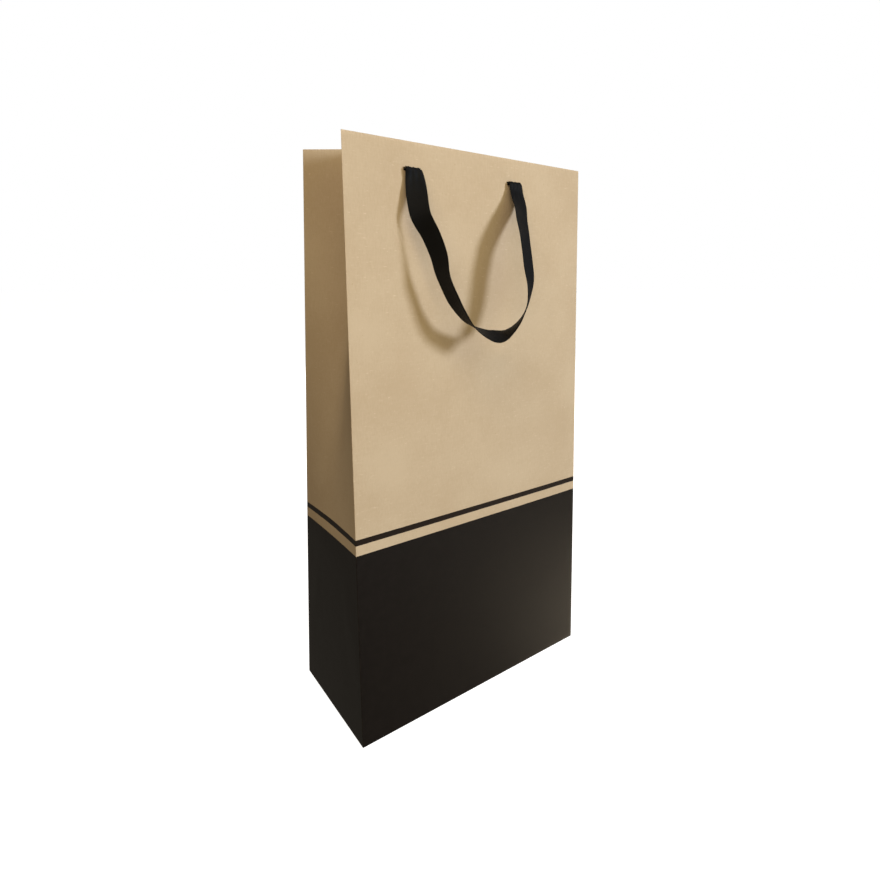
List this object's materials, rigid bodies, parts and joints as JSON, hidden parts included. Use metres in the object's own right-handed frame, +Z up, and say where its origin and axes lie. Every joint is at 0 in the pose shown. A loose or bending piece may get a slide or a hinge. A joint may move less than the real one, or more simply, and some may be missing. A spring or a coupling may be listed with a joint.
{
  "type": "wine gift bag",
  "caption": "Tall kraft paper gift bag for wine bottles, drawn in at the mouth, with a dark printed lower part, a thin stripe and black ribbon handles that swing.",
  "frame": {"origin": "middle of the base, on the ground", "axes": "+Z up, the front panel faces -Y, +X to the right as the front is seen"},
  "size_m": [0.18, 0.1357, 0.36],
  "materials": {
    "kraft_paper": "matte brown kraft outside with a dark brown satin print on the lower third",
    "grey_card": "matte grey board",
    "ribbon": "black twill ribbon with a soft sheen"
  },
  "bodies": {
    "bag": {"front_panel": "kraft_paper", "back_panel": "kraft_paper", "left_gusset_front": "kraft_paper", "left_gusset_back": "kraft_paper", "right_gusset_front": "kraft_paper", "right_gusset_back": "kraft_paper", "seam_tab": "kraft_paper", "front_bottom_flap": "kraft_paper", "back_bottom_flap": "kraft_paper", "left_bottom_flap": "kraft_paper", "right_bottom_flap": "kraft_paper", "base_card": "grey_card", "front_hem": "kraft_paper", "back_hem": "kraft_paper", "left_gusset_hem": "kraft_paper", "right_gusset_hem": "kraft_paper", "front_top_card": "grey_card", "back_top_card": "grey_card", "front_knots": "ribbon", "back_knots": "ribbon"},
    "front_handle": {"front_ribbon": "ribbon"},
    "back_handle": {"back_ribbon": "ribbon"}
  },
  "joints": [
    {"name": "front_handle_swing", "type": "hinge", "parent": "bag", "child": "front_handle", "pos_m": [-0.01, -0.048, 0.3445], "axis": [-1, 0, 0], "range_deg": [0, 150]},
    {"name": "back_handle_swing", "type": "hinge", "parent": "bag", "child": "back_handle", "pos_m": [0.01, 0.01546, 0.3445], "axis": [1, 0, 0], "range_deg": [0, 150]}
  ]
}
